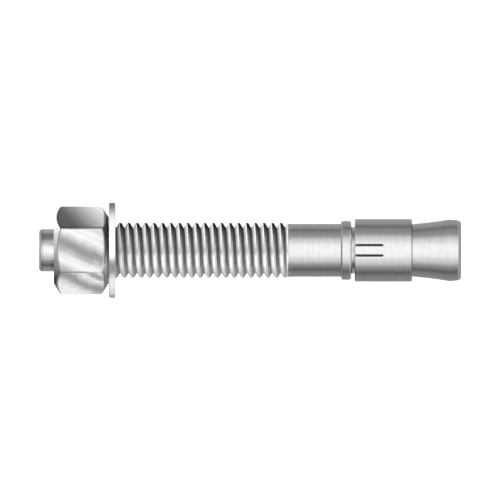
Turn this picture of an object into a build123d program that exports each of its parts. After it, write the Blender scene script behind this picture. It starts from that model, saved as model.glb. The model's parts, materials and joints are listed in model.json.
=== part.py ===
from build123d import *
from math import asin, atan2, cos, degrees, hypot, pi, radians, sin, tan
import os

# Wedge anchor: a stud with a flared tip, a hex nut, a plain washer and a split expansion clip.
# Millimetres, +Z up.
# The anchor is modelled along +X, from the struck end to the flared tip, with the origin at the
# centre of the washer's bearing face. Last of all it is turned about Y, so that it lies on the
# washer's rim and the tip's rim as it does on a bench.

# Thread: 1/2-13 unified coarse. Its cylinder is modelled at the major diameter.
thread_major_d = 12.70
thread_pitch = 25.4 / 13
thread_end_at = 38.30

# Stud, from the struck end to the tip
point_d = 9.80
point_l = 4.10
point_edge = 0.40
shank_d = 12.22
shank_l = 13.90
collar_d = 13.66
collar_w = 2.34
collar_edge = 0.40
neck_d = 10.70
neck_end_d = 12.10
neck_cone_l = 8.30
tip_l = 11.35
tip_d = 14.25
tip_rim_back = 2.55
tip_rim_round = 3.00
tip_flare_angle = 9.4
tip_back_angle = 4.5
tip_end_round = 1.00

# Nut
nut_across_flats = 17.75
nut_t = 12.70
nut_chamfer_l = 1.60
nut_chamfer_angle = 32.0
nut_mouth = 0.50
point_proud = 3.40

# Washer
washer_d = 22.05
washer_t = 1.53
washer_edge = 0.25

# Expansion clip
clip_d = 14.48
clip_l = 13.25
clip_edge = 0.30
clip_seam_w = 1.00
slit_w = 0.45
slit_l = 6.57
slit_pitch = 2.45

# Clearances: thread, neck and washer are radial, the others lie along the axis
thread_play = 0.10
neck_play = 0.10
washer_play = 0.40
nut_seat_play = 0.05
cone_play = 0.06
clip_float = 0.80

# Places along the axis
nut_front = -washer_t - nut_seat_play
nut_back = nut_front - nut_t
struck_end = nut_back - point_proud
thread_start = struck_end + point_l
collar_back = thread_end_at + shank_l
collar_front = collar_back + collar_w
clip_back = collar_front + clip_float
clip_front = clip_back + clip_l
tip_end = clip_front + tip_l
tip_rim = tip_end - tip_rim_back


def across(x):
    """Plane across the axis at x, with its own X pointing to +Y."""
    return Plane(origin=(x, 0, 0), x_dir=(0, 1, 0), z_dir=(1, 0, 0))


def turned(*outline):
    """Solid turned about the axis from an outline of curves in X and radius."""
    return revolve(make_face(list(outline)), Axis.X)


def tip_outline():
    """Curves from the front of the neck to the tip's end: hollow flare, round rim, back taper."""
    flare, back = radians(tip_flare_angle), radians(tip_back_angle)
    centre_r = tip_d / 2 - tip_rim_round
    rim_start = (tip_rim - tip_rim_round * sin(flare), centre_r + tip_rim_round * cos(flare))
    rim_end = (tip_rim + tip_rim_round * sin(back), centre_r + tip_rim_round * cos(back))
    end_r = rim_end[1] - (tip_end - rim_end[0]) * tan(back)
    neck_slope = (neck_cone_l, (neck_end_d - neck_d) / 2)
    return [
        TangentArc((clip_front, neck_end_d / 2), rim_start, tangent=neck_slope),
        RadiusArc(rim_start, rim_end, tip_rim_round),
        Polyline(rim_end, (tip_end, end_r), (tip_end, 0), (struck_end, 0)),
    ]


def anchor_stud():
    """Stud in one piece: struck point, thread cylinder, shank, collar, neck and flared tip."""
    point_r, major_r, shank_r = point_d / 2, thread_major_d / 2, shank_d / 2
    collar_r, neck_r = collar_d / 2, neck_d / 2
    body = Polyline(
        (struck_end, 0),
        (struck_end, point_r - point_edge),
        (struck_end + point_edge, point_r),
        (thread_start, point_r),
        (thread_start + major_r - point_r, major_r),
        (thread_end_at, major_r),
        (thread_end_at + thread_pitch, shank_r),
        (collar_back, shank_r),
        (collar_back, collar_r - collar_edge),
        (collar_back + collar_edge, collar_r),
        (collar_front - collar_edge, collar_r),
        (collar_front, collar_r - collar_edge),
        (collar_front, neck_r),
        (clip_front - neck_cone_l, neck_r),
        (clip_front, neck_end_d / 2),
    )
    stud = turned(body, *tip_outline())
    return fillet(stud.faces().sort_by(Axis.X)[-1].edges(), tip_end_round)


def hex_nut():
    """Hex nut with its corners turned off at both ends, which leaves an arc on each flat."""
    corner_r = nut_across_flats / 2 / cos(pi / 6)
    face_r = corner_r - nut_chamfer_l / tan(radians(nut_chamfer_angle))
    bore_r = thread_major_d / 2 + thread_play
    prism = extrude(across(nut_back) * RegularPolygon(corner_r, 6), nut_t)
    barrel = Polyline(
        (nut_back, bore_r + nut_mouth),
        (nut_back, face_r),
        (nut_back + nut_chamfer_l, corner_r),
        (nut_front - nut_chamfer_l, corner_r),
        (nut_front, face_r),
        (nut_front, bore_r + nut_mouth),
        (nut_front - nut_mouth, bore_r),
        (nut_back + nut_mouth, bore_r),
        close=True,
    )
    return prism & turned(barrel)


def flat_washer():
    """Plain washer with the sharpness taken off its outer edges."""
    hole_r = thread_major_d / 2 + washer_play
    ring = Circle(washer_d / 2) - Circle(hole_r)
    washer = extrude(across(-washer_t) * ring, washer_t)
    rim = washer.edges().filter_by(GeomType.CIRCLE).group_by(SortBy.RADIUS)[-1]
    return chamfer(rim, washer_edge)


def expansion_clip():
    """Rolled band, open along its seam, with a slit on each side of a tongue at its collar end."""
    outer_r = clip_d / 2
    bore_r = neck_d / 2 + neck_play
    slope = (neck_end_d - neck_d) / 2 / neck_cone_l
    mouth_r = neck_end_d / 2 + cone_play
    band = turned(
        Polyline(
            (clip_back, bore_r),
            (clip_back, outer_r - clip_edge),
            (clip_back + clip_edge, outer_r),
            (clip_front - clip_edge, outer_r),
            (clip_front, outer_r - clip_edge),
            (clip_front, mouth_r),
            (clip_front - (mouth_r - bore_r) / slope, bore_r),
            close=True,
        )
    )
    clear = outer_r + 1
    seam = Box(2 * clip_l, clip_seam_w, clear, align=(Align.CENTER, Align.CENTER, Align.MAX))
    band -= Pos(clip_back, 0, 0) * seam
    slit = extrude(Pos(clip_back, 0) * SlotOverall(2 * slit_l, slit_w), clear)
    spread = degrees(asin(slit_pitch / 2 / outer_r))
    for side in (-1, 1):
        band -= slit.rotate(Axis.X, side * spread)
    return band


def rest_angle():
    """Slope of the axis when the washer's front rim and the tip's rim both touch the bench."""
    run = tip_rim + washer_edge
    drop = washer_d / 2 - (tip_d / 2 - tip_rim_round)
    return degrees(atan2(drop, run) - asin(tip_rim_round / hypot(run, drop)))


os.makedirs("parts", exist_ok=True)
pieces = {
    "anchor_stud": anchor_stud(),
    "hex_nut": hex_nut(),
    "flat_washer": flat_washer(),
    "expansion_clip": expansion_clip(),
}
for name, piece in pieces.items():
    export_step(piece.rotate(Axis.Y, rest_angle()), f"parts/{name}.step")
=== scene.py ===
# %% [markdown]
# # A wedge anchor, dressed on its CAD frame
#
# A wedge anchor holds a fixture down to concrete. It is a steel stud with a flared tip, a thin split clip
# that the tip spreads inside the drilled hole, and a washer and a nut that pull the fixture tight.
# The CAD model already says where every piece is and how it moves. This file gives each piece the surface
# and the small shapes of the real one, and never moves anything.

# %% Load the frame
import json
import math

import bmesh
import bpy
from mathutils import Matrix, Vector


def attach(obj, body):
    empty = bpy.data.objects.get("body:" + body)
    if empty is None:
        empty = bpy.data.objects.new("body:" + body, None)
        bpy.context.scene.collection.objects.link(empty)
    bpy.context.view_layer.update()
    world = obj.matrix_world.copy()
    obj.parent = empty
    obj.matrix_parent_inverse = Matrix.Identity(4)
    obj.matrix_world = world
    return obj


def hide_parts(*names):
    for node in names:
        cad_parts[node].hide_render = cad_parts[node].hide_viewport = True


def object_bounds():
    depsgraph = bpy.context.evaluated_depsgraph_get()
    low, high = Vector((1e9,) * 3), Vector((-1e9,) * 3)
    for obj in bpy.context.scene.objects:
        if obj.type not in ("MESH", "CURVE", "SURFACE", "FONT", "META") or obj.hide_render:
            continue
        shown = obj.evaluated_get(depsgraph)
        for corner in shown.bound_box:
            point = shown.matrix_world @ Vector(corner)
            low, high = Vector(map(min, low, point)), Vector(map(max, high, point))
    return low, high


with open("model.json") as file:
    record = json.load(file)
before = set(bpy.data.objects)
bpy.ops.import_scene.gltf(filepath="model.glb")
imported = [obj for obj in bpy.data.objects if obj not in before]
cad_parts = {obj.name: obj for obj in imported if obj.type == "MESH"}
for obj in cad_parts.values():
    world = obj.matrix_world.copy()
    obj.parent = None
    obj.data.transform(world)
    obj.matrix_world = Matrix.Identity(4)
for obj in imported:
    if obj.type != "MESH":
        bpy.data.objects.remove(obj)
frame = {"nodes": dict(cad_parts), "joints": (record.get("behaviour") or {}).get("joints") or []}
cad_low, cad_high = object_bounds()
MM = 0.001
MICRON = 1e-6


def in_mm(*lengths):
    """Lengths in metres as rounded millimetres, for printing."""
    return [round(length / MM, 2) for length in lengths]


print("CAD box in mm:", in_mm(*cad_low, *cad_high))

# %% [markdown]
# ## The anchor's own axis
#
# The anchor lies on a bench, on the rims of its washer and of its tip, so its axis slopes a little.
# Every piece is round that axis. It is easier to model them along a level X axis and to lay them down with
# one matrix, and the joint that turns the nut states exactly that axis.

# %% The axis and the places of the pieces along it
nut_joint = next(joint for joint in frame["joints"] if joint["name"] == "nut_turn")
axis = Vector(nut_joint["axis"])
slope = math.asin(-axis.z)
lie_down = Matrix.Rotation(slope, 4, "Y")


def stretch(node):
    """Where a CAD node starts and ends along the anchor's axis, in metres."""
    places = [axis.dot(v.co) for v in frame["nodes"][node].data.vertices]
    return min(places), max(places)


def reach(node):
    """The largest distance of a CAD node from the anchor's axis, in metres."""
    return max((v.co - axis * axis.dot(v.co)).length for v in frame["nodes"][node].data.vertices)


struck_end, tip_end = stretch("anchor_stud")
nut_back, nut_front = stretch("hex_nut")
washer_back, washer_front = stretch("flat_washer")
clip_back, clip_front = stretch("expansion_clip")
print("slope of the axis:", round(math.degrees(slope), 2), "degrees")
for node in ("anchor_stud", "hex_nut", "flat_washer", "expansion_clip"):
    print(node, "starts and ends in mm:", in_mm(*stretch(node)))

# %% [markdown]
# ## Outlines with softened corners
#
# Turned and rolled steel has no truly sharp corner: each has a small round that catches the light as a thin
# line. A Bevel modifier could add them at the end. Here they go straight into the outlines, so that each
# corner has a radius of its own, and the points inside a round can be marked as the places where handling
# rubs the finish. On the nut the same mark also places painted shade and light on the edges.

# %% Soften an outline
longest_cut = 0.45


def softened(outline, steps=3):
    """Outline points (x, r, wear) from corners (x, r, round). Wear is 1 inside a round's arc."""
    points = []
    for i, (x, r, size) in enumerate(outline):
        if not size:
            points.append((x, r, 0))
            continue
        here = Vector((x, r))
        back = Vector(outline[i - 1][:2]) - here
        on = Vector(outline[(i + 1) % len(outline)][:2]) - here
        cut = min(size / math.tan(back.angle(on) / 2), longest_cut * min(back.length, on.length))
        start, end = here + back.normalized() * cut, here + on.normalized() * cut
        for k in range(steps + 1):
            t = k / steps
            arc = start.lerp(here, t).lerp(here.lerp(end, t), t)
            points.append((arc.x, arc.y, float(0 < k < steps)))
    return points


print("a softened square corner has", len(softened([(0, 0, 0), (1, 0, 0.2), (1, 1, 0)])), "points")

# %% [markdown]
# ## Skins of quads round the axis
#
# Every piece is a skin of quads: a row of outline points for each angle round the axis. Rows may lean along
# the axis as they go round, which is all that a thread is. Plain lists keep the quads even, and one weld at
# the end closes the seams between skins.

# %% Build and weld skins
WELD = 1e-7


def put_in_scene(name, data):
    """A new object in the scene, made of a mesh, a camera or a lamp's data."""
    made = bpy.data.objects.new(name, data)
    bpy.context.scene.collection.objects.link(made)
    return made


class Skins:
    """Gathers skins of quads and makes one closed mesh of them."""

    def __init__(self):
        self.points, self.wear, self.faces, self.finish = [], [], [], []

    def add(self, columns, angles, finish, closed=True, lean=0):
        """Adds a skin. columns[k] holds the (x, r, wear) points at angles[k]. The last column joins the
        first when closed, its rows leaned by `lean` rows. finish is a material, or one for each row."""
        first, count, rows = len(self.points), len(angles), len(columns[0])
        for column, angle in zip(columns, angles):
            c, s = math.cos(angle), math.sin(angle)
            self.points += [(x, r * c, r * s) for x, r, _ in column]
            self.wear += [wear for _, _, wear in column]
        for k in range(count if closed else count - 1):
            shift = lean if k == count - 1 else 0
            here, there = first + k * rows, first + (k + 1) % count * rows + shift
            for i in range(rows - 1 - shift):
                self.faces.append([here + i, here + i + 1, there + i + 1, there + i])
                self.finish.append(finish[i] if isinstance(finish, list) else finish)
        return first

    def turn(self, outline, angles, finish):
        """Adds one outline turned right round the axis."""
        return self.add([outline] * len(angles), angles, finish)

    def cap(self, first, rows, finish):
        """Closes the open end of a skin whose outline is a closed loop."""
        self.faces.append(list(range(first, first + rows)))
        self.finish.append(finish)

    def piece(self, name):
        """One mesh object of all the skins, welded and laid down on the anchor's axis."""
        mesh = bpy.data.meshes.new(name)
        mesh.from_pydata(self.points, [], self.faces)
        mesh.attributes.new("wear", "FLOAT", "POINT").data.foreach_set("value", self.wear)
        finishes = list(dict.fromkeys(self.finish))
        for finish in finishes:
            mesh.materials.append(finish)
        mesh.polygons.foreach_set("material_index", [finishes.index(finish) for finish in self.finish])
        shape = bmesh.new()
        shape.from_mesh(mesh)
        bmesh.ops.remove_doubles(shape, verts=shape.verts, dist=WELD)
        bmesh.ops.dissolve_degenerate(shape, edges=shape.edges, dist=WELD)
        bmesh.ops.recalc_face_normals(shape, faces=shape.faces)
        shape.transform(lie_down)
        open_edges = sum(1 for edge in shape.edges if len(edge.link_faces) != 2)
        shape.to_mesh(mesh)
        shape.free()
        mesh.shade_smooth()
        print(f"{name}: {len(mesh.polygons)} faces, {open_edges} open edges")
        return put_in_scene(name, mesh)


def round_angles(count):
    """Even angles right round the axis."""
    return [2 * math.pi * k / count for k in range(count)]


print(f"points closer than {WELD / MM:g} mm are welded")

# %% [markdown]
# ## Writing node recipes
#
# All the finishes are built from nodes, so that they have no image and no seam. Adding and linking nodes
# one at a time makes long code. A small class that takes either a number or another node's output for each
# input lets a recipe read like arithmetic.

# %% A helper for nodes
class Recipe:
    """Adds nodes to a tree. Every input may be a number, a colour or another node's output."""

    def __init__(self, tree):
        self.tree = tree

    def add(self, kind, inputs=None, **settings):
        node = self.tree.nodes.new(kind)
        for name, value in settings.items():
            setattr(node, name, value)
        for socket, value in (inputs or {}).items():
            self.feed(node.inputs[socket], value)
        return node

    def feed(self, socket, value):
        if isinstance(value, bpy.types.NodeSocket):
            self.tree.links.new(value, socket)
        else:
            socket.default_value = value

    def math(self, operation, a, b=0.0, c=0.0):
        return self.add("ShaderNodeMath", {0: a, 1: b, 2: c}, operation=operation).outputs[0]

    def times(self, a, b):
        return self.math("MULTIPLY", a, b)

    def between(self, value, low, high, to_low=0.0, to_high=1.0, kind="SMOOTHSTEP"):
        """value, led from to_low at low to to_high at high."""
        inputs = {"Value": value, "From Min": low, "From Max": high, "To Min": to_low, "To Max": to_high}
        return self.add("ShaderNodeMapRange", inputs, interpolation_type=kind).outputs["Result"]

    def spread(self, noise, low, high):
        """Noise, most of which lies between 0.3 and 0.7, spread out from low to high."""
        return self.between(noise, 0.3, 0.7, low, high)

    def blend(self, share, a, b):
        """a where share is 0, b where it is 1."""
        return self.add("ShaderNodeMix", {"Factor": share, "A": a, "B": b}).outputs["Result"]

    def noise(self, vector, scale, detail):
        inputs = {"Vector": vector, "Scale": scale, "Detail": detail, "Roughness": 0.55}
        return self.add("ShaderNodeTexNoise", inputs).outputs["Fac"]

    def stretched(self, vector, by):
        return self.add("ShaderNodeVectorMath", {0: vector, 1: by}, operation="MULTIPLY").outputs["Vector"]

    def turned(self, vector, about, angle):
        inputs = {"Vector": vector, "Angle": angle}
        return self.add("ShaderNodeVectorRotate", inputs, rotation_type=about).outputs["Vector"]

    def split(self, vector):
        return self.add("ShaderNodeSeparateXYZ", {"Vector": vector}).outputs

    def levels(self, value, stops):
        """A curve of grey levels. Stops are {place: level}."""
        node = self.add("ShaderNodeValToRGB", {"Fac": value})
        elements = node.color_ramp.elements
        node.color_ramp.interpolation = "EASE"
        for i, (place, level) in enumerate(stops.items()):
            stop = elements[i] if i < 2 else elements.new(place)
            stop.position = place
            stop.color = (level, level, level, 1)
        return node.outputs["Color"]


print("a recipe can use:", [name for name in vars(Recipe) if name[0] != "_"])

# %% [markdown]
# ## What every finish starts from
#
# A finish has to stay on its piece as the piece turns. An image would need an unwrapped mesh, and a seam.
# Here each finish reads the place on the piece itself, in millimetres, and the way the surface faces there.
# Both are turned back by the slope of the axis, so that X runs along the stud again. Fine marks are a bump
# of 0.6 to 12 thousandths of a millimetre, and `wear` is the mark that the softened corners carry.

# %% A class for finishes
class Finish(Recipe):
    """The recipe of one material, made with some of its shader's sockets set."""

    def __init__(self, name, **sockets):
        self.material = bpy.data.materials.new(name)
        self.material.use_nodes = True
        super().__init__(self.material.node_tree)
        self.shader = self.tree.nodes["Principled BSDF"]
        for socket, value in sockets.items():
            self.shader.inputs[socket.replace("_", " ")].default_value = value

    def place(self):
        """The place on the piece in millimetres, with X along the stud."""
        here = self.add("ShaderNodeTexCoord").outputs["Object"]
        return self.turned(self.stretched(here, (1 / MM,) * 3), "Y_AXIS", -slope)

    def facing(self):
        """The way the surface faces, with X along the stud."""
        return self.turned(self.add("ShaderNodeTexCoord").outputs["Normal"], "Y_AXIS", -slope)

    # The mark of the rounds: real wear, and on the nut the place of painted shade and light.
    def wear_and_edge_shade(self):
        return self.add("ShaderNodeAttribute", attribute_name="wear").outputs["Fac"]

    def done(self, grey, dull, height, depth):
        """The material, with this grey, this roughness and a bump that is depth metres deep."""
        bump = self.add("ShaderNodeBump", {"Height": height, "Distance": depth, "Strength": 1.0})
        self.feed(self.shader.inputs["Base Color"], grey)
        self.feed(self.shader.inputs["Roughness"], dull)
        self.feed(self.shader.inputs["Normal"], bump.outputs["Normal"])
        print(f"{self.material.name}: {len(self.tree.nodes)} nodes")
        return self.material


print("and a finish:", [name for name in vars(Finish) if name[0] != "_"])

# %% [markdown]
# ## Shades across a piece
#
# A polished round bar mirrors a studio as light and dark lines along it. The dome further down gives the
# shank, the clip and the tip theirs. On small and matt places it can't: what would be mirrored there is too
# small to draw in a dome, or is blurred away. There the finish carries the shades itself, as a painted
# reflection: a curve of a few grey levels over the place across the piece. This has a price: the painted
# shades turn with the piece, and in another light they look like stains. So they are used only where the
# dome alone looks wrong.

# %% A curve of shades across a piece
def shades_across(recipe, place, half_width, stops):
    """Painted reflection: grey levels over the place across the piece. Stops are {place: level}, from -1 to
    1 of half_width.
    """
    across = recipe.math("MULTIPLY_ADD", recipe.split(place)[1], 0.5 * MM / half_width, 0.5)
    return recipe.levels(across, {0.5 + at / 2: level for at, level in stops.items()})


# %% [markdown]
# ## Bright plated steel
#
# The whole anchor is carbon steel with a thin coat of zinc. The coat follows what lies under it: fine
# marks round the axis where the steel was drawn, turned or rolled, and a faint cloudiness from the bath.
# A metal takes its look from what it mirrors, so its colour is one grey and the detail sits in its
# roughness and its bump. The marks come from noise that is squeezed along the axis and stretched round it.

# %% The finish of turned and rolled surfaces
marks_stretch = (5.0, 0.25, 0.25)
cloud_scale = 0.7
marks_share = 0.6
brightest = 0.9


def turned_finish(name, shade, roughness, mark_depth=0.6 * MICRON, mottle=0.04, metallic=1.0, shades=None):
    """Steel with fine marks round its axis. shade is how much light it gives back, from 0 to 1.
    shades is (half_width, stops): a painted reflection, how much of that is left over the place across."""
    recipe = Finish(name, Metallic=metallic)
    place = recipe.place()
    marks = recipe.noise(recipe.stretched(place, marks_stretch), 1.0, 4.0)
    clouds = recipe.noise(place, cloud_scale, 3.0)
    uneven = recipe.math("ADD", recipe.times(marks, marks_share), recipe.times(clouds, 1 - marks_share))
    wear_and_edge_shade = recipe.wear_and_edge_shade()
    grey = recipe.spread(uneven, shade * (1 - mottle), shade * (1 + mottle))
    # Painted reflection across the piece, where shades are given.
    if shades:
        grey = recipe.times(grey, shades_across(recipe, place, *shades))
    rubbed = min(shade * 1.5, brightest)
    grey = recipe.blend(recipe.times(wear_and_edge_shade, 0.6), grey, rubbed)
    dull = recipe.spread(uneven, roughness * 1.2, roughness * 0.85)
    dull = recipe.blend(wear_and_edge_shade, dull, roughness * 0.7)
    return recipe.done(grey, dull, marks, mark_depth)


bright_steel = turned_finish("bright_rolled_steel", 0.42, 0.22)

# %% [markdown]
# ## The rolled thread's finish
#
# A bright thread shows a light and a dark flank on every turn. A dome and a lamp alone don't part them
# enough, because each flank lights the other across the narrow groove. So the finish paints them: it reads
# which way the surface faces along the stud, and mixes a painted light flank, a grey crest and a painted
# dark flank by that. Each is a curve of painted light and shade across the stud. This light too goes with
# the stud, and in another light it reads as oil in the grooves.

# %% The finish of the thread
def thread_finish(name, half_width, dark_flank, crest, light_flank, roughness, metallic):
    """Plated thread with painted shade on the flanks that face the tip and painted light on those that face
    the struck end. Each shade is a curve for shades_across.
    """
    matt = {"Specular_IOR_Level": 0.0, "Specular_Tint": (0.1, 0.1, 0.1, 1)}
    recipe = Finish(name, Metallic=metallic, **matt)
    place = recipe.place()
    grain = recipe.noise(place, 3.0, 4.0)
    streaks = recipe.noise(recipe.stretched(place, (6.0, 0.5, 0.5)), 1.0, 3.0)
    facing = recipe.math("ADD", recipe.split(recipe.facing())[0], recipe.spread(grain, -0.12, 0.12))
    shades = [shades_across(recipe, place, half_width, stops) for stops in (dark_flank, crest, light_flank)]
    grey = recipe.blend(recipe.between(facing, -0.55, -0.15), shades[2], shades[1])
    grey = recipe.blend(recipe.between(facing, -0.05, 0.40), grey, shades[0])
    grey = recipe.times(grey, recipe.spread(streaks, 0.9, 1.08))
    dull = recipe.spread(grain, roughness, roughness * 1.4)
    return recipe.done(grey, dull, streaks, 2 * MICRON)


# %% [markdown]
# ## The stud's thread
#
# The thread is rolled: hard dies press the grooves in, and the metal rises into rounded crests. It is a
# unified coarse thread of 13 turns to the inch, right-handed. A displaced cylinder would blur the crests.
# Here the rows of quads follow the helix itself, so that a crest's edge is one unbroken line of edges.
# It starts from one turn of the thread's section: half a crest, a groove with 60 degrees between its
# flanks, and half a crest, with small rounds. The groove is a little shallower than the standard's, and the
# crest wider.

# %% Thread sizes and profile
thread_pitch = 25.4 / 13 * MM
major_r = 12.70 / 2 * MM
root_r = 10.50 / 2 * MM
crest_w = 0.58 * MM
flank = math.radians(30)
groove_at = 0.130 * MM
run_out_from, run_out_to = 39.00 * MM, 39.95 * MM
stud_angles = round_angles(128)

# Painted shade and light of the thread: the dark flank, the crest and the light flank, across the stud.
dark_flank = {-0.9: 0.34, -0.7: 0.27, -0.45: 0.14, 0.1: 0.095, 0.65: 0.06, 0.9: 0.008}
crest_shades = {-0.9: 0.42, -0.55: 0.46, -0.2: 0.38, 0.1: 0.25, 0.4: 0.18, 0.75: 0.06, 0.9: 0.02}
light_flank = {-0.9: 0.42, -0.72: 0.62, -0.5: 0.88, -0.28: 0.82, -0.05: 0.48, 0.4: 0.76, 0.9: 0.90}
rolled_thread = thread_finish(
    "rolled_thread", major_r, dark_flank, crest_shades, light_flank, roughness=0.30, metallic=0.20
)


def thread_profile(crest_r, bottom_r, crest, crest_round, bottom_round, steps=3):
    """One turn of a thread's section from crest to crest, as (place, radius, wear) about the groove."""
    open_half = (thread_pitch - crest) / 2
    floor_half = open_half - (crest_r - bottom_r) * math.tan(flank)
    corners = [
        (-thread_pitch / 2, crest_r, 0),
        (-open_half, crest_r, crest_round),
        (-floor_half, bottom_r, bottom_round),
        (floor_half, bottom_r, bottom_round),
        (open_half, crest_r, crest_round),
        (thread_pitch / 2, crest_r, 0),
    ]
    return softened(corners, steps)[:-1]


crest_round, root_round = 0.25 * MM, 0.16 * MM
stud_profile = thread_profile(major_r, root_r, crest_w, crest_round, root_round)
print("points in one turn of the profile:", len(stud_profile))

# %% [markdown]
# ## Winding the thread
#
# A Screw modifier would wind the section too, but its ends are open and stick out like a spring's. Here
# every column of points round the stud is the same row of sections, moved along by its share of the pitch.
# Points past either end are held at the end, where the weld merges them, so the thread ends in a clean
# circle. The last column joins the first one section further on. A function of the place says how much
# radius is left.

# %% Wind the thread
def wound(profile, start, end, angles, shape):
    """Columns of a thread between two places. shape(x, r) gives the radius that is left at x."""
    turns = range(int(start // thread_pitch) - 2, int(end // thread_pitch) + 3)
    rows = [(groove_at + n * thread_pitch + place, r, wear) for n in turns for place, r, wear in profile]
    columns = []
    for angle in angles:
        shift = thread_pitch * angle / (2 * math.pi)
        places = [(min(max(place + shift, start), end), r, wear) for place, r, wear in rows]
        columns.append([(x, shape(x, r), wear) for x, r, wear in places])
    return columns


def eased(t):
    """t from 0 to 1, slow at both ends."""
    t = min(max(t, 0), 1)
    return t * t * (3 - 2 * t)


print("eased from 0 to 1:", [round(eased(k / 4), 2) for k in range(5)])

# %% [markdown]
# ## The stud
#
# The stud is formed cold from one length of wire: a plain point that takes the hammer, the thread, the
# shank, a collar that pushes the clip down the hole, a thin neck, and the flared tip that spreads the clip.
# Outlines turned round the axis give all of it but the thread. Where the dies lift off they push up a
# small lip, and the shank starts behind it.

# %% Outline of the stud
small_round, edge_round, inner_round, fine_round = 0.25 * MM, 0.30 * MM, 0.15 * MM, 0.12 * MM
soft_round = 0.60 * MM
point_r, point_l = 9.80 / 2 * MM, 4.10 * MM
point_edge, point_shoulder = 0.50 * MM, 0.95 * MM
shank_r = 12.22 / 2 * MM
lip_h, lip_w = 0.10 * MM, 0.30 * MM
lip_end = run_out_to + 2.2 * lip_w
collar_r, collar_w, collar_edge = 13.66 / 2 * MM, 2.34 * MM, 0.35 * MM
clip_float = 0.80 * MM
thread_start = struck_end + point_l
collar_front = clip_back - clip_float
collar_back = collar_front - collar_w

point_outline = softened(
    [
        (struck_end, 0, 0),
        (struck_end, point_r - point_edge, small_round),
        (struck_end + point_edge, point_r, edge_round),
        (struck_end + point_shoulder, point_r, 0),
        (thread_start, point_r, 0),
    ]
)
neck_r, neck_end_r, neck_cone_l = 10.70 / 2 * MM, 12.10 / 2 * MM, 8.30 * MM
shank_outline = softened(
    [
        (run_out_to, shank_r, 0),
        (run_out_to + lip_w, shank_r + lip_h, small_round),
        (lip_end, shank_r, soft_round),
        (collar_back, shank_r, inner_round),
        (collar_back, collar_r - collar_edge, fine_round),
        (collar_back + collar_edge, collar_r, edge_round),
        (collar_front - collar_edge, collar_r, edge_round),
        (collar_front, collar_r - collar_edge, fine_round),
        (collar_front, neck_r, 0),
    ]
)
print("collar from, to and across in mm:", in_mm(collar_back, collar_front, 2 * collar_r))

# %% [markdown]
# ## The neck
#
# Under the clip the stud is thinner, so that the clip can lie inside the drilled hole. Most of the neck is
# out of sight. The short stretch that shows between the collar and the clip is cut into narrow rows, so
# that the corner beside the collar can have a finish of its own. Then the neck widens in a shallow cone.

# %% Outline of the neck
neck_cone = clip_front - neck_cone_l
neck_shown_to = clip_back + 0.15 * MM
neck_steps = 8
shown_step = (neck_shown_to - collar_front) / neck_steps
shown_neck = [(collar_front + shown_step * k, neck_r, 0) for k in range(neck_steps + 1)]
neck_outline = softened(
    [(neck_shown_to, neck_r, 0), (neck_cone, neck_r, soft_round), (clip_front, neck_end_r, 0)]
)
print("the neck shows over", in_mm(neck_shown_to - collar_front), "mm")

# %% [markdown]
# ## The flared tip
#
# The tip is the wedge. It leaves the neck in a hollow curve, opens to a rounded rim, and closes again a
# little behind it. Its outline is the same as the solid's: an arc tangent to the neck's cone, an arc for the
# rim, and a straight taper to a rounded end.

# %% Flare, rim and back of the tip
tip_r, tip_rim_back, tip_rim_round, tip_end_round = 14.25 / 2 * MM, 2.55 * MM, 3.00 * MM, 1.0 * MM
tip_flare, tip_taper = math.radians(9.4), math.radians(4.5)
flare_steps, rim_steps, end_steps = 16, 8, 8
rim_x, rim_r = tip_end - tip_rim_back, tip_r - tip_rim_round


def on_rim(angle):
    """The point of the rim's arc at an angle from its widest place, towards the end."""
    return rim_x + tip_rim_round * math.sin(angle), rim_r + tip_rim_round * math.cos(angle)


def hollow(start, steepness, end, steps):
    """Points of the arc that leaves start with a steepness and reaches end."""
    chord = Vector(end) - Vector(start)
    heading = math.atan(steepness)
    bend = math.atan2(chord.y, chord.x) - heading
    radius = chord.length / (2 * math.sin(bend))
    turns = [2 * bend * k / steps for k in range(steps + 1)]
    centre = Vector(start) + radius * Vector((-math.sin(heading), math.cos(heading)))
    arc = [centre + radius * Vector((math.sin(heading + t), -math.cos(heading + t))) for t in turns]
    return [(p.x, p.y, 0) for p in arc]


neck_slope = (neck_end_r - neck_r) / neck_cone_l
flare = hollow((clip_front, neck_end_r), neck_slope, on_rim(-tip_flare), flare_steps)
rim = [(*on_rim(-tip_flare + (tip_flare + tip_taper) * k / rim_steps), 0) for k in range(rim_steps + 1)]
end_r = rim[-1][1] - (tip_end - rim[-1][0]) * math.tan(tip_taper)
back = softened([(*rim[-1][:2], 0), (tip_end, end_r, tip_end_round), (tip_end, 0, 0)], end_steps)
tip_outline = flare + rim[1:] + back[1:]
print("tip: widest", in_mm(2 * max(r for _, r, _ in tip_outline)), "mm across")

# %% [markdown]
# ## How the thread starts and ends
#
# The thread starts in a cone turned down to the struck point's size, so that a nut finds it easily. At its
# other end the dies lift off over about half a turn, and the groove gets shallower until it meets the
# shank. Both are one small function of the place, used while the thread is wound.

# %% Fit the thread to the stud
def cut_to_stud(x, r):
    """Radius of the thread at x: turned down at the start, pressed less and less deep at the run-out."""
    lead_in = point_r + (x - thread_start)
    fade = eased((x - run_out_from) / (run_out_to - run_out_from))
    return min(r + (shank_r - r) * fade, lead_in)


def by_place(outline, first, *changes):
    """A finish for each row of an outline: `first`, then each (place, finish) from its place on."""
    middles = [(here[0] + there[0]) / 2 for here, there in zip(outline, outline[1:])]
    return [[first, *[finish for start, finish in changes if start < middle]][-1] for middle in middles]


thread_columns = wound(stud_profile, thread_start, run_out_to, stud_angles, cut_to_stud)
print("thread:", len(thread_columns), "columns of", len(thread_columns[0]), "points")
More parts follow.
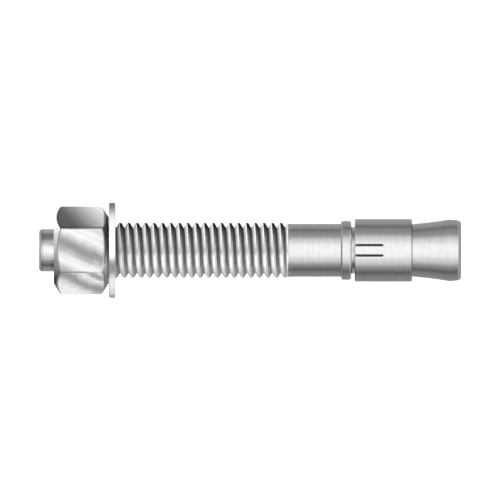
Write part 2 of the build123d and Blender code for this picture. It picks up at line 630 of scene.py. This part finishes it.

# %% [markdown]
# ## Finishes of the point, the collar and the neck
#
# The hammer's end and the tip's end are sheared, so they are matt. The collar's back edge has a painted
# shade, dark and uneven, and its front edge a painted light, pale and half matt. The struck point, the
# collar's front edge and the short neck have painted reflections across them: darkest two thirds of the way
# out, lighter outside and inside that. The neck's corner beside the collar has a painted shade that stays
# dark outside.

# %% The other finishes of the stud
# Painted reflections across the point, the collar's front edge and the shown neck; painted shade in the
# neck's corner.
point_shades = {-0.84: 1.28, -0.66: 0.75, -0.36: 0.8, 0.1: 1.0, 0.5: 0.64, 0.66: 0.64, 0.84: 1.25}
collar_front_shades = {-0.9: 0.53, -0.69: 0.30, -0.42: 1.0, 0.42: 1.0, 0.74: 0.30, 0.9: 0.52}
neck_shades = {-0.88: 1.0, -0.64: 0.32, -0.36: 0.60, 0: 0.42, 0.36: 0.58, 0.68: 0.42, 0.9: 0.75}
corner_shades = {-0.74: 0.27, -0.3: 0.95, 0.5: 0.92, 0.75: 0.40}

across_point, across_neck = (point_r, point_shades), (neck_r, neck_shades)
# The struck point and its shoulder: painted reflections across them.
point_painted_reflection = turned_finish("point_painted_reflection", 0.42, 0.25, shades=across_point)
shoulder_steel = turned_finish("point_shoulder", 0.34, 0.30, shades=across_point)
sheared_end = turned_finish("sheared_end", 0.26, 0.50, 4 * MICRON, 0.15, metallic=0.5)
# The collar's back edge: a painted shade, dark and uneven.
collar_back_painted_shade = turned_finish("collar_back_painted_shade", 0.20, 0.50, 8 * MICRON, 0.40, metallic=0.4)
# The collar's front edge: a painted light, pale, with painted reflections across it.
collar_front_painted_light = turned_finish(
    "collar_front_painted_light", 0.70, 0.50, 4 * MICRON, 0.20, metallic=0.3, shades=(collar_r, collar_front_shades)
)
# The shown neck: painted reflections across it.
neck_painted_reflection = turned_finish("neck_painted_reflection", 0.80, 0.35, 12 * MICRON, 0.15, shades=across_neck)
# The neck's corner beside the collar: painted shade at its sides.
neck_corner = turned_finish("neck_corner", 0.85, 0.60, 8 * MICRON, 0.15, shades=(neck_r, corner_shades))
# The neck under the clip: darker than the shank, a painted shade.
hidden_neck = turned_finish("hidden_neck", 0.20, 0.60, 8 * MICRON, 0.35)

# %% [markdown]
# ## Putting the stud together
#
# The stud is six skins end to end: the struck point, the thread, the shank with its collar, the neck in two
# stretches, and the tip. They share their angles, so that the weld closes them into one piece, as the real
# stud is one piece of steel. Each row of quads has a finish, by its place.

# %% Put the stud together
tip_end_strip, neck_corner_w, collar_foot = 0.75 * MM, 0.25 * MM, 0.02 * MM
point_rows = by_place(
    point_outline,
    sheared_end,
    (struck_end + point_edge, shoulder_steel),
    (struck_end + point_shoulder, point_painted_reflection),
)
shank_rows = by_place(
    shank_outline,
    bright_steel,
    (collar_back - collar_foot, collar_back_painted_shade),
    (collar_back + collar_edge, bright_steel),
    (collar_front - collar_edge, collar_front_painted_light),
)
neck_rows = by_place(shown_neck, neck_corner, (collar_front + neck_corner_w, neck_painted_reflection))
tip_rows = by_place(tip_outline, bright_steel, (tip_end - tip_end_strip, sheared_end))

stud_skins = Skins()
stud_skins.turn(point_outline, stud_angles, point_rows)
stud_skins.add(thread_columns, stud_angles, rolled_thread, lean=len(stud_profile))
stud_skins.turn(shank_outline, stud_angles, shank_rows)
stud_skins.turn(shown_neck, stud_angles, neck_rows)
stud_skins.turn(neck_outline, stud_angles, hidden_neck)
stud_skins.turn(tip_outline, stud_angles, tip_rows)
stud = stud_skins.piece("stud_with_thread")
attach(stud, "stud")
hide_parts("anchor_stud")

# %% [markdown]
# ## The washer
#
# A washer is punched out of strip. The punch draws the edge down on one side and leaves it square on the
# other, and tumbling rounds both. So the rounds differ: a large one towards the nut, a small one in front.
# Its rim is whiter than its faces, because a sheared edge is matt and scatters the light. Its faces carry
# painted light and shade: pale on the near side, dark on the far side. The rim still mirrors grey at both
# sides and near the middle. An even dome has nothing dark to mirror there, so the finish has a painted
# reflection, a curve of shades across the washer.

# %% Satin zinc
def satin_finish(name, face_shade, rim_shades, half_width, roughness, metallic):
    """Zinc with a soft grain; the faces have painted light and shade, from 1 on the near side to face_shade
    on the far side. rim_shades is the rim's painted reflection.
    """
    recipe = Finish(name, Metallic=metallic)
    place = recipe.place()
    grain = recipe.noise(place, 4.0, 5.0)
    clouds = recipe.noise(place, 0.5, 2.0)
    wear_and_edge_shade = recipe.wear_and_edge_shade()
    rim = shades_across(recipe, place, half_width, rim_shades)
    endways = recipe.math("ABSOLUTE", recipe.split(recipe.facing())[0])
    on_face = recipe.between(endways, 0.6, 0.9)
    # Painted light and shade on the faces: pale on the near side, dark on the far side.
    face = recipe.between(recipe.split(place)[1], -5.0, 0.5, 1.0, face_shade)
    grey = recipe.times(recipe.blend(on_face, rim, face), recipe.spread(clouds, 0.95, 1.05))
    grey = recipe.times(grey, recipe.between(grain, 0.35, 0.65, 0.94, 1.0))
    recipe.feed(recipe.shader.inputs["Metallic"], recipe.math("MAXIMUM", on_face, metallic))
    dull = recipe.spread(grain, roughness * 1.2, roughness * 0.8)
    dull = recipe.blend(wear_and_edge_shade, dull, roughness * 0.6)
    return recipe.done(grey, dull, grain, 4 * MICRON)


# The rim's painted reflection: grey at both sides and near the middle.
rim_shades = {-0.98: 0.40, -0.86: 0.82, -0.68: 0.85, -0.40: 0.22, -0.30: 0.22, -0.04: 0.88}
rim_shades |= {0.62: 0.90, 0.98: 0.14}
washer_r = min(reach("flat_washer"), -cad_low.y, cad_high.y)
satin_zinc = satin_finish("satin_zinc", 0.35, rim_shades, washer_r, roughness=0.45, metallic=0.35)

# %% [markdown]
# ## Making the washer
#
# The outline is a closed loop round the washer's section, which starts and ends in the middle of its back
# face. Turned round the axis it makes a ring with no end to close. The hole clears the thread by a little.

# %% Make the washer
washer_play = 0.40 * MM
drawn_round, square_round = 0.35 * MM, 0.25 * MM
washer_hole_r = major_r + washer_play
washer_mid_r = (washer_r + washer_hole_r) / 2
washer_steps = 5
washer_outline = softened(
    [
        (washer_back, washer_mid_r, 0),
        (washer_back, washer_r, drawn_round),
        (washer_front, washer_r, square_round),
        (washer_front, washer_hole_r, fine_round),
        (washer_back, washer_hole_r, square_round),
        (washer_back, washer_mid_r, 0),
    ],
    washer_steps,
)
washer_skins = Skins()
washer_skins.turn(washer_outline, round_angles(160), satin_zinc)
washer = washer_skins.piece("punched_washer")
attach(washer, "washer")
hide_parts("flat_washer")

# %% [markdown]
# ## The nut
#
# The nut is a slice of hexagon whose corners are turned off at both ends. Where the turned cone meets a
# flat it leaves an arc. Cutting a hexagon with a cone as a boolean gives ragged triangles along that arc.
# The skin takes it in its stride instead: at each angle the outline simply bends where cone and flat meet.

# %% Outline of the nut at each angle
nut_apothem = 17.75 / 2 * MM
nut_corner_round, nut_arc_round = 0.55 * MM, 0.70 * MM
nut_chamfer_l, nut_chamfer = 1.60 * MM, math.radians(32)
nut_bore_r, mouth_wider, mouth_slope = 12.86 / 2 * MM, 0.30 * MM, 1.2
sixth = math.pi / 3
nut_face_r = nut_apothem / math.cos(sixth / 2) - nut_chamfer_l / math.tan(nut_chamfer)
mouth_r = nut_bore_r + mouth_wider
side_steps = 4


def off_flat(angle):
    """How far an angle is from the middle of the nearest flat. Two flats face up and down."""
    return abs(angle % sixth - sixth / 2)


def hexagon_r(angle):
    """Distance of the nut's side from the axis, with its six corners rounded."""
    off = off_flat(angle)
    inner = nut_apothem - nut_corner_round
    if math.tan(off) * nut_apothem <= inner * math.tan(sixth / 2):
        return nut_apothem / math.cos(off)
    centre, turn_off = inner / math.cos(sixth / 2), sixth / 2 - off
    return centre * math.cos(turn_off) + math.sqrt(nut_corner_round**2 - (centre * math.sin(turn_off)) ** 2)


def nut_side(angle):
    """Outline of the nut's outside at an angle, from the mouth at the back to the mouth in front."""
    side_r = hexagon_r(angle)
    cone_l = (side_r - nut_face_r) * math.tan(nut_chamfer)
    outline = softened(
        [
            (nut_back, mouth_r, 0),
            (nut_back, nut_face_r, inner_round),
            (nut_back + cone_l, side_r, nut_arc_round),
            (nut_front - cone_l, side_r, nut_arc_round),
            (nut_front, nut_face_r, inner_round),
            (nut_front, mouth_r, 0),
        ],
        side_steps,
    )
    # The corners carry the wear mark too: real wear on the chamfers, painted shade and light on the flats.
    on_corner = side_r * math.cos(off_flat(angle)) < nut_apothem - WELD
    return [(x, r, 1.0 if on_corner and r > nut_apothem else wear) for x, r, wear in outline]


print("nut across flats and corners in mm:", in_mm(2 * nut_apothem, 2 * hexagon_r(0)))

# %% [markdown]
# ## Painted reflections on the nut
#
# A flat bright face mirrors its surroundings in broad bands of lighter and darker grey. In an even dome it
# has nothing to mirror, so the bands are painted into the finish as painted reflections. A wave along one
# slanted direction gives them, and a little noise bends them. They are read from the place on the nut, so
# they turn with it.

# %% Bands across the nut
band_slant = math.radians(24)
band_spacing, band_start = 6.65, -3.4
# The light and dark greys of the painted reflection bands, and where the painted dark streak lies.
band_light, band_dark = 0.565, 0.20
streak_at = -3.85


def slanted_bands(recipe, x, y, place, leaning):
    """How far a flat is in a dark band of the painted reflection, from 0 to 1, and the place across the
    bands in millimetres.
    """
    along = recipe.times(y, math.cos(band_slant))
    across = recipe.math("MULTIPLY_ADD", x, math.sin(band_slant), along)
    bend = recipe.spread(recipe.noise(place, 0.25, 2.0), -0.35, 0.35)
    phase = recipe.math("ADD", recipe.math("SUBTRACT", across, band_start), bend)
    wave = recipe.math("COSINE", recipe.times(phase, 2 * math.pi / band_spacing))
    band = recipe.math("MULTIPLY_ADD", wave, 0.5, 0.5)
    band = recipe.math("POWER", band, recipe.math("ADD", leaning, 1.0))
    fainter = recipe.between(phase, 0.45 * band_spacing, 0.7 * band_spacing, 1.0, 0.3)
    return recipe.times(band, fainter), phase


def near_painted_streak(recipe, x, side, phase):
    """One more dark streak, a painted reflection on the near flat alone: how much light it leaves."""
    off = recipe.math("ABSOLUTE", recipe.math("SUBTRACT", phase, streak_at))
    streak = recipe.between(off, 0.15, 0.65, 0.45, 1.0)
    on_streak = recipe.times(recipe.between(x, -7.8, -5.5), recipe.between(side, -0.6, -0.8))
    return recipe.blend(on_streak, 1.0, streak)


print("the nut's bands are", band_spacing, "mm apart")

# %% [markdown]
# ## The painted shade of the far flat and of the edges
#
# The far flat leans away from the light, and has no bands: its grey is painted shade. It lightens towards
# its far front corner, and a painted dark line lies along its near edge. The edges round the flats get
# painted
# shade and light: dim at the back and brighter in front, on the far side most of all. Both are mixed in by
# the way the surface faces, so no flat needs a material of its own.

# %% Shades of the far flat and the edges
def far_flat(recipe, x, y):
    """Painted shade of the flat that leans away."""
    rise = recipe.between(recipe.math("ADD", x, y), -4.0, 6.0, kind="LINEAR")
    grey = recipe.math("MULTIPLY_ADD", recipe.math("POWER", rise, 1.5), 0.85, 0.09)
    return recipe.times(grey, recipe.between(y, 5.2, 5.8, 0.5, 1.0))


def painted_edge_shades(recipe, x, y, side):
    """Painted shade and light on the edges round the flats."""
    far = recipe.between(x, -10.0, -6.0, 0.02, 0.85)
    far = recipe.blend(recipe.between(y, 5.0, 5.8), 0.03, far)
    return recipe.blend(recipe.between(side, 0.2, 0.5), recipe.between(x, -8.0, -5.0, 0.22, 0.55), far)


# %% [markdown]
# ## The nut's flats, put together
#
# The layers go on in order: the painted reflection bands, painted light on the flats that lean, the painted
# dark streak, the far flat's painted shade, fine streaks along the slant like those that tumbling leaves,
# the painted shade and light on the edges, and last the painted shade of the arcs in front. The fine streaks
# and a grain also give the bump.

# %% The finish of the nut's flats
def painted_band_finish(name, roughness, metallic):
    """Zinc with painted reflection bands and painted shade, read from the place on the nut and the way it
    faces.
    """
    recipe = Finish(name, Metallic=metallic)
    place = recipe.place()
    x, y, _ = recipe.split(place)
    _, side, up = recipe.split(recipe.facing())
    leaning = recipe.between(recipe.math("ABSOLUTE", up), 0.95, 0.55)
    band, phase = slanted_bands(recipe, x, y, place, leaning)
    grey = recipe.blend(band, band_light, band_dark)
    # Painted light: the flats that lean are lighter.
    grey = recipe.times(grey, recipe.math("MULTIPLY_ADD", leaning, 0.77, 1.0))
    grey = recipe.times(grey, near_painted_streak(recipe, x, side, phase))
    on_far_flat = recipe.times(recipe.between(side, 0.6, 0.8), recipe.between(up, 0.2, 0.45))
    grey = recipe.blend(on_far_flat, grey, far_flat(recipe, x, y))
    along_streaks = recipe.turned(place, "Z_AXIS", band_slant)
    fine = recipe.noise(recipe.stretched(along_streaks, (0.12, 2.2, 2.2)), 1.0, 4.0)
    grain = recipe.noise(place, 5.0, 3.0)
    grey = recipe.times(grey, recipe.spread(fine, 0.92, 1.06))
    # The wear mark here places the painted shade and light of the edges.
    wear_and_edge_shade = recipe.times(recipe.wear_and_edge_shade(), 0.85)
    grey = recipe.blend(wear_and_edge_shade, grey, painted_edge_shades(recipe, x, y, side))
    # Painted shade on the arcs in front, next to the washer.
    grey = recipe.times(grey, recipe.between(x, -2.90, -2.50, 1.0, 0.40))
    dull = recipe.spread(fine, roughness * 1.25, roughness * 0.8)
    return recipe.done(grey, dull, recipe.math("ADD", fine, grain), 3 * MICRON)


zinc_with_painted_bands = painted_band_finish("zinc_with_painted_bands", roughness=0.35, metallic=0.45)

# %% [markdown]
# ## The nut's own thread
#
# A nut's thread is the stud's thread turned inside out, with a little room. Its ridges take their width
# from the stud's groove, less some play on each flank, so the two can never cut into each other, however
# far the nut is turned. It is wound in the same way, and countersunk at both mouths. The angles crowd
# together at the six corners, where the outline bends most.

# %% Wind the nut's thread
nut_minor_r, thread_play = 10.80 / 2 * MM, 0.03 * MM
groove_round, ridge_round = 0.10 * MM, 0.05 * MM
corner_end = 30 - math.degrees(math.atan((1 - nut_corner_round / nut_apothem) * math.tan(sixth / 2)))
corner_steps = [0, corner_end / 2, corner_end, corner_end + 0.4, 2.6, 3.6, 5, 7, 10, 13.5, 17, 21, 25.5]
sixth_steps = [*corner_steps, 30, *[60 - step for step in corner_steps[:0:-1]]]
nut_angles = [sixth * k + math.radians(step) for k in range(6) for step in sixth_steps]
nut_crest = crest_w + 2 * thread_play - 2 * (nut_bore_r - major_r) * math.tan(flank)
nut_profile = thread_profile(nut_bore_r, nut_minor_r, nut_crest, groove_round, ridge_round)


def cut_to_nut(x, r):
    """Radius of the nut's thread at x: countersunk at both mouths."""
    from_mouth = min(x - nut_back, nut_front - x)
    return max(r, mouth_r - from_mouth * mouth_slope)


nut_columns = wound(nut_profile, nut_back, nut_front, nut_angles, cut_to_nut)
print("nut's thread:", len(nut_columns), "columns of", len(nut_columns[0]), "points")

# %% [markdown]
# ## Making the nut
#
# The chamfers and the inner thread have the turned finish, with painted reflections across them. The end
# faces are darker, a painted shade, and a little rougher. The rows of the outside are counted from both
# ends: faces, chamfers, and the flats between them.

# %% Make the nut
# Painted reflections across the chamfers.
front_shades = {-0.9: 1.0, -0.1: 0.95, 0.15: 0.70, 0.9: 0.68}
back_shades = {-0.76: 0.40, -0.60: 1.05, -0.25: 0.72, 0.4: 0.68, 0.9: 1.1}
front_chamfer = turned_finish("front_chamfer", 0.88, 0.28, shades=(nut_apothem, front_shades))
back_chamfer = turned_finish("back_chamfer", 0.88, 0.28, shades=(nut_apothem, back_shades))
# The end faces: darker, a painted shade.
faced_end = turned_finish("faced_end", 0.22, 0.35, 2 * MICRON, 0.10)

sides = [nut_side(angle) for angle in nut_angles]
face_rows, chamfer_rows = 2, 5
flat_rows = len(sides[0]) - 1 - 2 * (face_rows + chamfer_rows)
side_finish = [faced_end] * face_rows + [back_chamfer] * chamfer_rows + [zinc_with_painted_bands] * flat_rows
side_finish += [front_chamfer] * chamfer_rows + [faced_end] * face_rows
nut_skins = Skins()
nut_skins.add(sides, nut_angles, side_finish)
nut_skins.add(nut_columns, nut_angles, front_chamfer, lean=len(nut_profile))
nut = nut_skins.piece("nut_with_thread")
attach(nut, "nut")
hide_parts("hex_nut")

# %% [markdown]
# ## The expansion clip
#
# The clip is a strip rolled round the neck until its ends nearly meet, which leaves a seam underneath.
# Two short slits in its collar end make a tongue that grips the hole. Boolean cuts would leave long thin
# faces that shade badly on a mirror-like band. Here each column of quads starts where the steel starts at
# its angle: at the clip's end, or at the round end of a slit.

# %% Where the clip's steel starts
clip_r = reach("expansion_clip")
bore_play, cone_play = 0.10 * MM, 0.06 * MM
clip_bore_r, clip_mouth_r = neck_r + bore_play, neck_end_r + cone_play
slit_w, slit_l, slit_pitch, seam_w = 0.45 * MM, 6.57 * MM, 2.45 * MM, 1.00 * MM
mouth_round, clip_steps = 0.06 * MM, 4
slit_end = clip_back + slit_l - slit_w / 2
past_slit = slit_end + slit_w
cone_start = clip_front - (clip_mouth_r - clip_bore_r) / neck_slope


def steel_from(offset):
    """Where the clip's steel starts at an offset from the middle of a slit, from -1 to 1 across it."""
    return slit_end + slit_w / 2 * math.sqrt(1 - offset * offset)


def clip_inner_r(x):
    """The clip's inside: a plain bore, then a cone that lies on the neck's cone."""
    return clip_bore_r + max(x - cone_start, 0) * neck_slope


clip_section = softened(
    [
        (clip_back, (clip_r + clip_bore_r) / 2, 0),
        (clip_back, clip_r, edge_round),
        (slit_end, clip_r, 0),
        (past_slit, clip_r, 0),
        (clip_front, clip_r, edge_round),
        (clip_front, clip_mouth_r, mouth_round),
        (past_slit, clip_inner_r(past_slit), 0),
        (slit_end, clip_inner_r(slit_end), 0),
        (cone_start, clip_bore_r, 0),
        (clip_back, clip_bore_r, inner_round),
    ],
    clip_steps,
)
print("clip's length and width in mm:", in_mm(clip_front - clip_back, 2 * clip_r))

# %% [markdown]
# ## Making the clip
#
# Going round from the seam there is plain band, a slit, the tongue, a slit, and plain band again. In the
# plain parts all columns are alike. Across a slit they stand closer together, and each starts where the
# slit's round end leaves steel. The section is a closed loop, so one face closes each side of the seam.

# %% Make the clip
def clip_column(start):
    """The clip's section where the steel starts at `start`. Points behind it move forward to it."""
    column, least = [*clip_section, clip_section[0]], clip_inner_r(start)
    return [(x, r, wear) if x >= start else (start, max(r, least), wear) for x, r, wear in column]


quarter = math.pi / 2
half_seam, half_slit = seam_w / 2 / clip_r, slit_w / 2 / clip_r
slit_turn = math.asin(slit_pitch / 2 / clip_r)
stops = [-quarter + half_seam, quarter - slit_turn, quarter + slit_turn, 3 * quarter - half_seam]
across_slit = [-1, -0.92, -0.7, -0.38, 0, 0.38, 0.7, 0.92, 1]
plain_steps = [56, 12, 56]
clip_angles, clip_columns = [], []
for part, count in enumerate(plain_steps):
    start = stops[part] + (half_slit if part else 0)
    end = stops[part + 1] - (half_slit if part < 2 else 0)
    clip_angles += [start + (end - start) * k / count for k in range(count + 1)]
    clip_columns += [clip_column(clip_back)] * (count + 1)
    if part < 2:
        clip_angles += [stops[part + 1] + half_slit * offset for offset in across_slit]
        clip_columns += [clip_column(steel_from(offset)) for offset in across_slit]
clip_steel = turned_finish("rolled_clip_steel", 0.42, 0.20)
clip_skins = Skins()
first = clip_skins.add(clip_columns, clip_angles, clip_steel, closed=False)
rows = len(clip_columns[0])
clip_skins.cap(first, rows - 1, clip_steel)
clip_skins.cap(first + rows * (len(clip_columns) - 1), rows - 1, clip_steel)
clip = clip_skins.piece("rolled_clip")
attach(clip, "clip")
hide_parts("expansion_clip")

# %% [markdown]
# ## Camera
#
# The anchor is looked at square from above, from so far away that parallel edges stay parallel, as in a
# catalogue. An orthographic camera gives exactly that. It leans with the anchor's axis, so that the anchor
# is seen side-on.

# %% Set the camera
view_width = 115.65 * MM
view_centre = (31.12 * MM, 0.07 * MM)
camera_height = 0.5
camera_data = bpy.data.cameras.new("camera")
camera_data.type = "ORTHO"
camera_data.ortho_scale = view_width
camera = put_in_scene("camera", camera_data)
camera.matrix_world = lie_down @ Matrix.Translation((*view_centre, camera_height))
bpy.context.scene.camera = camera
print("the view is", in_mm(view_width), "mm wide")

# %% [markdown]
# ## The light table
#
# The anchor lies on a pale table that glows a little, so that it casts hardly any shadow. The steel doesn't
# mirror the table itself. It mirrors the dome of light, which goes on below the horizon, and so the rims of
# round pieces can be given their grey. From below the table is clear, like one-way glass, so that the
# underside of the anchor can be looked at too.

# %% Make the table
table_half, table_gap = 1.5, 0.02 * MM
corners = [(-1, -1), (1, -1), (1, 1), (-1, 1)]
table_z = cad_low.z - table_gap
table_mesh = bpy.data.meshes.new("light_table")
table_mesh.from_pydata([(table_half * x, table_half * y, table_z) for x, y in corners], [], [(0, 1, 2, 3)])
table = put_in_scene("light_table", table_mesh)
table.visible_glossy = False
glow = {"Emission_Color": (1, 1, 1, 1), "Emission_Strength": 0.55}
pale = Finish("light_table", Base_Color=(0.8, 0.8, 0.8, 1), Roughness=0.9, Specular_IOR_Level=0.0, **glow)
from_below = pale.add("ShaderNodeNewGeometry").outputs["Backfacing"]
clear = pale.add("ShaderNodeBsdfTransparent").outputs[0]
one_way = pale.add("ShaderNodeMixShader", {0: from_below, 1: pale.shader.outputs[0], 2: clear})
pale.feed(pale.tree.nodes["Material Output"].inputs["Surface"], one_way.outputs[0])
table_mesh.materials.append(pale.material)
print("table's height in mm:", in_mm(table_z))

# %% [markdown]
# ## The dome
#
# Round polished steel shows its surroundings as stripes along its length. What lies overhead gives the
# bright core, what lies level gives the dark line near each rim, and what lies below gives the grey rim.
# So the dome is drawn as one curve of light by height for each side of the anchor, one a little darker
# than the other. The camera itself sees plain white beyond the table.

# %% Light by height
BRIGHT = 2.2
world = bpy.data.worlds.new("dome")
bpy.context.scene.world = world
world.use_nodes = True
dome = Recipe(world.node_tree)
dome_x, dome_y, dome_z = dome.split(dome.add("ShaderNodeTexCoord").outputs["Generated"])
height = dome.math("MULTIPLY_ADD", dome_z, 0.5, 0.5)


def by_height(stops):
    """A curve of light from {degrees from overhead: light}, the lowest first."""
    lights = {0.5 + 0.5 * math.cos(math.radians(angle)): light / BRIGHT for angle, light in stops.items()}
    return dome.levels(height, lights)


far_side = by_height({180: 0.60, 119: 0.63, 98: 0.33, 82: 0.55, 66: 0.62, 42: 1.55, 14: 2.2})
near_side = by_height({180: 0.46, 116: 0.48, 91: 0.24, 70: 0.56, 42: 1.50, 14: 2.2})
level = dome.blend(dome.between(dome_y, -0.2, 0.2), near_side, far_side)
print("light right overhead:", BRIGHT)

# %% [markdown]
# ## The dome's ends
#
# The chamfers, the thread's flanks and the flare lean towards the two ends of the room, and mirror what
# stands there. So each end of the dome has its own light, which changes from one side to the other. It fades
# out towards the sides and upwards, where the curves by height take over.

# %% Light at the ends
endways = dome.math("ABSOLUTE", dome_x)
sideways = dome.math("DIVIDE", dome_y, dome.math("MAXIMUM", endways, 0.05))
nut_end = dome.between(sideways, -0.5, 0.5, 0.06 / BRIGHT, 1.45 / BRIGHT)
nut_end = dome.blend(dome.between(sideways, 0.58, 0.82), nut_end, 0.35 / BRIGHT)
tip_end_light = dome.between(sideways, -0.35, 0.1, 0.32 / BRIGHT, 0.05 / BRIGHT)
tip_end_light = dome.blend(dome.between(dome_z, -0.3, -0.05), tip_end_light, 0.55 / BRIGHT)
ends = dome.blend(dome.math("GREATER_THAN", dome_x, 0.0), nut_end, tip_end_light)
end_share = dome.times(dome.between(endways, 0.2, 0.45), dome.between(dome_z, 0.35, 0.0))
level = dome.blend(end_share, level, ends)

background = world.node_tree.nodes["Background"]
dome.feed(background.inputs["Color"], level)
dome.feed(background.inputs["Strength"], BRIGHT)
white = dome.add("ShaderNodeBackground", {"Color": (1, 1, 1, 1), "Strength": 1.0}).outputs[0]
camera_sees = dome.add("ShaderNodeLightPath").outputs["Is Camera Ray"]
seen = dome.add("ShaderNodeMixShader", {0: camera_sees, 1: background.outputs[0], 2: white})
dome.feed(world.node_tree.nodes["World Output"].inputs["Surface"], seen.outputs[0])
bpy.context.scene.view_settings.view_transform = "Standard"
print("the dome has", len(world.node_tree.nodes), "nodes")

# %% [markdown]
# ## A lamp for the thread
#
# The dome lights both flanks of the thread nearly alike. One weak lamp beyond the struck end brings out the
# flanks that face it. It doesn't show in the steel. Light linking keeps it to the stud, so that the washer
# and the nut neither take its light nor shade the thread from it.

# %% One soft lamp
lamp_data = bpy.data.lights.new("flank_lamp", "AREA")
lamp_data.size = 0.25
lamp_data.energy = 1.6
lamp = put_in_scene("flank_lamp", lamp_data)
lamp.location = (-0.36, -0.12, 0.32)
lamp.rotation_mode = "QUATERNION"
lamp.rotation_quaternion = (-lamp.location).to_track_quat("-Z", "Y")
lamp.visible_camera = False
lamp.visible_glossy = False
lit = bpy.data.collections.new("flank_lamp_reach")
lit.objects.link(stud)
lamp.light_linking.receiver_collection = lit
lamp.light_linking.blocker_collection = lit

# %% [markdown]
# ## The end of the scene
